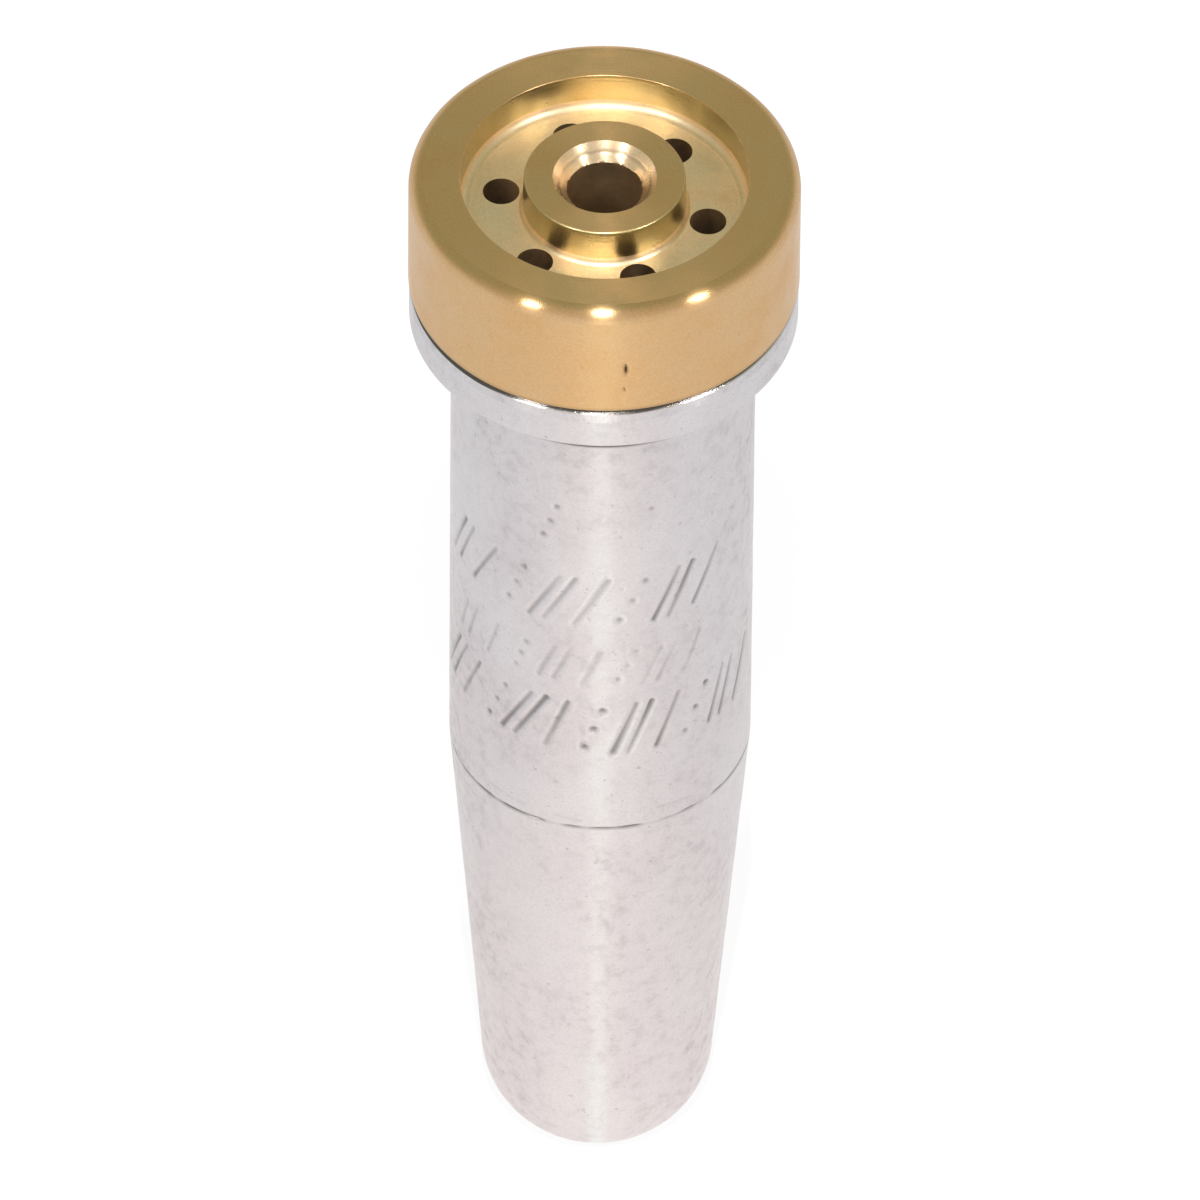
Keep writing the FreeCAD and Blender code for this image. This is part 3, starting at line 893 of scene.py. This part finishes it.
# %% Wear
def small_wear():
    """Pits, and a few broken arcs that the lathe tool left above the ring line."""
    rng = np.random.default_rng(77)
    total = np.zeros(np.broadcast(around, down).shape)
    pits = [(19.2, 13.2, 0.10, 0.05), (-7.0, 26.6, 0.09, 0.05), (31.0, 14.6, 0.09, 0.04)]
    lows, highs = (-75, 12.7, 0.06, 0.015), (75, 27.4, 0.11, 0.035)
    pits += [tuple(rng.uniform(lows, highs)) for _ in range(70)]
    for azimuth, depth, width, deep in pits:
        place = (BARREL_RADIUS * math.radians(azimuth), depth)
        total += deep * bell(to_stroke(place, place)[0], 0.0, width)
    for azimuth, depth, sweep in ((-38, 30.9, 16), (-12, 31.1, 10), (30, 30.8, 14), (8, 30.6, 6)):
        start = (BARREL_RADIUS * math.radians(azimuth - sweep / 2), depth)
        end = (BARREL_RADIUS * math.radians(azimuth + sweep / 2), depth + 0.08)
        total += 0.022 * bell(to_stroke(start, end)[0], 0.0, 0.07)
    return total


# %% The ring line and the waviness
ring_width, ring_depth = 0.24, 0.09
ring_force = np.clip(0.66 + 0.55 * uneven(shell_angles, 0.0, 9, (3, 7, 11, 17, 29)), 0.16, 1.0)[None, :]
ring_line = ring_force * ring_depth * np.clip(1 - np.abs(down - TAPER_START) / (ring_width / 2), 0.0, 1.0)
waviness = 0.006 * uneven(shell_angles[None, :], down, 3)
fades = np.clip(np.minimum(down - SHOULDER_END, LENGTH - down) / 2.0, 0.0, 1.0)
press = (struck_rows() + small_wear() + ring_line + (waviness + 0.006) * fades) * outside
print("deepest mark in mm:", round(float(press.max()), 3), "highest rim:", round(float(-press.min()), 3))

# %% Making the shell
front_angle = shell_angles - FRONT
# Painted shade in the corner under the collar, strongest on the front side and patchy.
collar_corner_shade = 1.15 * bell(shell_run[:, 1], SHOULDER_END, 0.10) * (shell_run[:, 0] > CHAMBER_RADIUS + 1)
collar_corner_strength = 0.55 + 0.45 * np.cos(front_angle) + 0.3 * uneven(shell_angles, 0.0, 21)
collar_corner_strength = np.clip(collar_corner_strength, 0.15, 1.0)
# Painted shade on the collar's top and chamfer at the seam, a dark line that reaches further out at the
# front and to the left.
in_seam = (shell_run[:, 1:] < HEAD_HEIGHT + 0.16) & (shell_run[:, :1] > COUNTERBORE_RADIUS + 1)
seam_edge = 0.045 + 0.012 * uneven(shell_angles, 0.0, 33)
for azimuth, width, reach in ((0.06, 0.22, 0.06), (-0.95, 0.42, 0.09)):
    seam_edge -= reach * bell(front_angle, azimuth, width)
collar_seam_shade = np.clip((COLLAR_RADIUS - seam_edge - shell_run[:, :1]) / 0.03, 0, 1) * in_seam
# Painted shade in the struck marks, pits and ring line, darker the deeper they are.
shell_painted_shade = np.clip((press - 0.015) / 0.07, 0.0, 1.0) * 0.75
shell_painted_shade = np.maximum(shell_painted_shade, ring_line / ring_depth * 0.9)
shell_painted_shade = np.maximum(shell_painted_shade, collar_corner_shade[:, None] * collar_corner_strength)
shell_painted_shade = np.maximum(shell_painted_shade, collar_seam_shade)
shell_grid = turned_band(shell_run, shell_angles)
shell_grid[..., :2] *= (1 - press / shell_run[:, :1])[..., None]
shell = make_piece("plated_outer_shell", shell_grid.reshape(-1, 3),
                   grid_faces(len(shell_run), len(shell_angles), closed_rows=True), [plated, plated_rim],
                   np.repeat(shell_run[:, 1] < HEAD_HEIGHT + 0.19, len(shell_angles)),
                   {"painted_shell_shade": shell_painted_shade.ravel()})
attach(shell, "root")
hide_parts("outer_shell")

# %% [markdown]
# ## Floor, light and camera
#
# The tip stands on its nose on a pale floor. The camera sees only that floor, so the floor's
# own whiteness makes the white background. Metal sees it too, with painted light on it: brighter
# before the tip and darker to its sides. The lamps stay low enough that a colour shows about as
# it is written.

# %% The floor's painted light
def floor_painted_light(tree, seen_by_camera):
    """Painted light on the floor, for what metal sees: white before the tip, painted shade that
    turns cooler and darker away to its sides, and a painted pool of light, a slightly brighter
    wedge straight in front, where the flash falls. The camera sees white throughout."""
    place = add_node(tree, "ShaderNodeTexCoord").outputs["Object"]
    split = add_node(tree, "ShaderNodeSeparateXYZ")
    tree.links.new(place, split.inputs[0])
    side = add_node(tree, "ShaderNodeMath", operation="ABSOLUTE")
    tree.links.new(split.outputs["X"], side.inputs[0])
    stops = add_node(tree, "ShaderNodeValToRGB")
    tree.links.new(ramp(tree, side.outputs[0], 0.0, 0.05), stops.inputs[0])
    for position, colour in FLOOR_SHADE_STOPS:
        element = stops.color_ramp.elements.new(position)
        element.color = (*colour, 1.0)
    stops.color_ramp.elements.remove(stops.color_ramp.elements[0])
    stops.color_ramp.elements.remove(stops.color_ramp.elements[-1])
    before = add_node(tree, "ShaderNodeMath", operation="MULTIPLY")
    before.inputs[1].default_value = -1.0
    tree.links.new(split.outputs["Y"], before.inputs[0])
    before_axis = add_node(tree, "ShaderNodeMath", operation="MAXIMUM")
    before_axis.inputs[1].default_value = 0.0005
    tree.links.new(before.outputs[0], before_axis.inputs[0])
    slope = add_node(tree, "ShaderNodeMath", operation="DIVIDE")
    tree.links.new(side.outputs[0], slope.inputs[0])
    tree.links.new(before_axis.outputs[0], slope.inputs[1])
    wedge = ramp(tree, slope.outputs[0], *WEDGE_SLOPES, 1.0, 0.0)
    floor_light = blend_colours(tree, wedge, stops.outputs["Color"], FLASH_POOL_COLOUR)
    return blend_colours(tree, seen_by_camera, floor_light, (1.0, 1.0, 1.0, 1.0))


# Painted shade on the floor, from white before the tip to cooler and darker at its sides; the wedge
# colour is a painted pool of light from the flash.
FLOOR_SHADE_STOPS = [(0.01, (1.0, 0.99, 0.985)), (0.2, (0.90, 0.895, 0.90)), (0.5, (0.81, 0.81, 0.82)),
               (0.9, (0.71, 0.76, 0.81))]
FLASH_POOL_COLOUR = (1.12, 1.20, 1.17, 1.0)
WEDGE_SLOPES = (0.05, 0.13)      # full inside the first, gone at the second


# %% The floor
def pale_floor(height, radius=1.2, columns=96):
    """A round sheet, white to the camera, and to metal white before the tip with painted shade
    to its sides; it still takes the tip's shadow.
    """
    turn = np.linspace(0, 2 * math.pi, columns, endpoint=False)
    rim = np.stack([radius * np.cos(turn), radius * np.sin(turn), np.full(columns, height)], axis=-1)
    mesh = bpy.data.meshes.new("floor")
    mesh.from_pydata(rim.tolist(), [], [list(range(columns))])
    floor = bpy.data.objects.new("floor", mesh)
    bpy.context.scene.collection.objects.link(floor)
    material, tree, shader = new_material("pale_floor")
    shader.inputs["Base Color"].default_value = (0.9, 0.9, 0.9, 1.0)
    shader.inputs["Roughness"].default_value = 0.9
    white = add_node(tree, "ShaderNodeEmission", Color=(1.0, 1.0, 1.0, 1.0), Strength=FLOOR_STRENGTH)
    path = add_node(tree, "ShaderNodeLightPath")
    seen = add_node(tree, "ShaderNodeMath", operation="MAXIMUM")
    tree.links.new(path.outputs["Is Camera Ray"], seen.inputs[0])
    either = add_node(tree, "ShaderNodeMath", operation="MAXIMUM")
    tree.links.new(path.outputs["Is Glossy Ray"], either.inputs[0])
    tree.links.new(path.outputs["Is Transmission Ray"], either.inputs[1])
    tree.links.new(either.outputs[0], seen.inputs[1])
    amount = add_node(tree, "ShaderNodeMath", operation="MULTIPLY")
    tree.links.new(seen.outputs[0], amount.inputs[0])
    amount.inputs[1].default_value = FLOOR_WHITENESS
    mix = add_node(tree, "ShaderNodeMixShader")
    tree.links.new(floor_painted_light(tree, path.outputs["Is Camera Ray"]), white.inputs["Color"])
    tree.links.new(amount.outputs[0], mix.inputs[0])
    tree.links.new(shader.outputs[0], mix.inputs[1])
    tree.links.new(white.outputs[0], mix.inputs[2])
    tree.links.new(mix.outputs[0], tree.nodes["Material Output"].inputs["Surface"])
    mesh.materials.append(material)


FLOOR_WHITENESS, FLOOR_STRENGTH = 0.82, 1.06
pale_floor(-(LENGTH + 0.01) * MM)


# %% The lamps
def soft_box(name, azimuth, elevation, distance, width, height, power):
    """An area lamp on a sphere round the tip. Azimuth 0 is the camera's side, and positive
    turns to the right."""
    azimuth, elevation = math.radians(azimuth), math.radians(elevation)
    away = np.array([math.sin(azimuth) * math.cos(elevation), -math.cos(azimuth) * math.cos(elevation),
                     math.sin(elevation)])
    light = bpy.data.lights.new(name, "AREA")
    light.shape = "RECTANGLE"
    light.size, light.size_y = width, height
    light.energy = power
    lamp = bpy.data.objects.new(name, light)
    lamp.location = (away * distance).tolist()
    lamp.rotation_euler = Vector((-away).tolist()).to_track_quat("-Z", "Y").to_euler()
    lamp.visible_camera = False
    bpy.context.scene.collection.objects.link(lamp)


LAMPS = [
    # name, azimuth and elevation in degrees, distance, width and height in metres, watts
    ("left_lamp", -43, 42, 0.7, 0.05, 0.12, 1.25),
    ("right_lamp", 58, 42, 0.7, 0.05, 0.12, 1.25),
    ("flash", -0.5, 58, 0.9, 0.015, 0.015, 4.3),
]
for lamp in LAMPS:
    soft_box(*lamp)


# %% The world
def studio_world():
    """A room that is pale at the horizon and olive grey overhead, warmer on the camera's side,
    for what metal sees. Diffuse surfaces get an even, low light from it, and the camera sees
    white."""
    world = bpy.data.worlds.new("studio")
    bpy.context.scene.world = world
    world.use_nodes = True
    tree = world.node_tree
    background = tree.nodes["Background"]
    direction = add_node(tree, "ShaderNodeTexCoord").outputs["Generated"]
    split = add_node(tree, "ShaderNodeSeparateXYZ")
    tree.links.new(direction, split.inputs[0])
    up = ramp(tree, split.outputs["Z"], 0.02, 0.45)
    front = ramp(tree, split.outputs["Y"], -0.75, 0.1, 1.0, 0.0)
    ceiling = blend_colours(tree, front, (0.39, 0.43, 0.32, 1.0), (0.66, 0.64, 0.58, 1.0))
    room = blend_colours(tree, up, (0.82, 0.82, 0.84, 1.0), ceiling)
    path = add_node(tree, "ShaderNodeLightPath")
    room = blend_colours(tree, path.outputs["Is Diffuse Ray"], room, (0.45, 0.45, 0.45, 1.0))
    room = blend_colours(tree, path.outputs["Is Camera Ray"], room, (1.0, 1.0, 1.0, 1.0))
    tree.links.new(room, background.inputs["Color"])


studio_world()

# %% [markdown]
# ## Camera
#
# The photograph was taken from well above, with a long lens. Its direction, its distance and
# the place of the seat's centre in the picture were found by fitting circles of the head and
# the shell to their outlines in the photograph.

# %% The camera
PICTURE = 1200
HEAD_WIDTH_PIXELS = 393.0
ELEVATION = math.radians(45.23)
ROLL = math.radians(-0.52)
DISTANCE_PIXELS = 30000.0
SEAT_OFFSET_PIXELS = (4.8, 423.4)


def photo_camera():
    """The camera looks along the line that the elevation gives. The seat's centre, the origin,
    lies off its axis by the measured offset, so the camera stands off by the same amount."""
    pixel = 2 * HEAD_RADIUS * MM / HEAD_WIDTH_PIXELS
    forward = Vector((0, math.cos(ELEVATION), -math.sin(ELEVATION)))
    level_up = Vector((0, math.sin(ELEVATION), math.cos(ELEVATION)))
    level_right = Vector((1, 0, 0))
    right = level_right * math.cos(ROLL) - level_up * math.sin(ROLL)
    up = level_right * math.sin(ROLL) + level_up * math.cos(ROLL)
    data = bpy.data.cameras.new("photo_camera")
    data.sensor_width = 36.0
    data.lens = 36.0 * DISTANCE_PIXELS / PICTURE
    data.clip_start, data.clip_end = 0.1, 10.0
    camera = bpy.data.objects.new("photo_camera", data)
    across, above = SEAT_OFFSET_PIXELS
    camera.location = -forward * DISTANCE_PIXELS * pixel - right * across * pixel - up * above * pixel
    rotation = Matrix((right, up, -forward)).transposed()
    camera.rotation_euler = rotation.to_euler()
    bpy.context.scene.collection.objects.link(camera)
    bpy.context.scene.camera = camera
    print("one pixel is", round(pixel / MM, 5), "mm")
    print("the camera is", round(DISTANCE_PIXELS * pixel, 3), "m away")


photo_camera()
bpy.context.scene.view_settings.view_transform = "Standard"
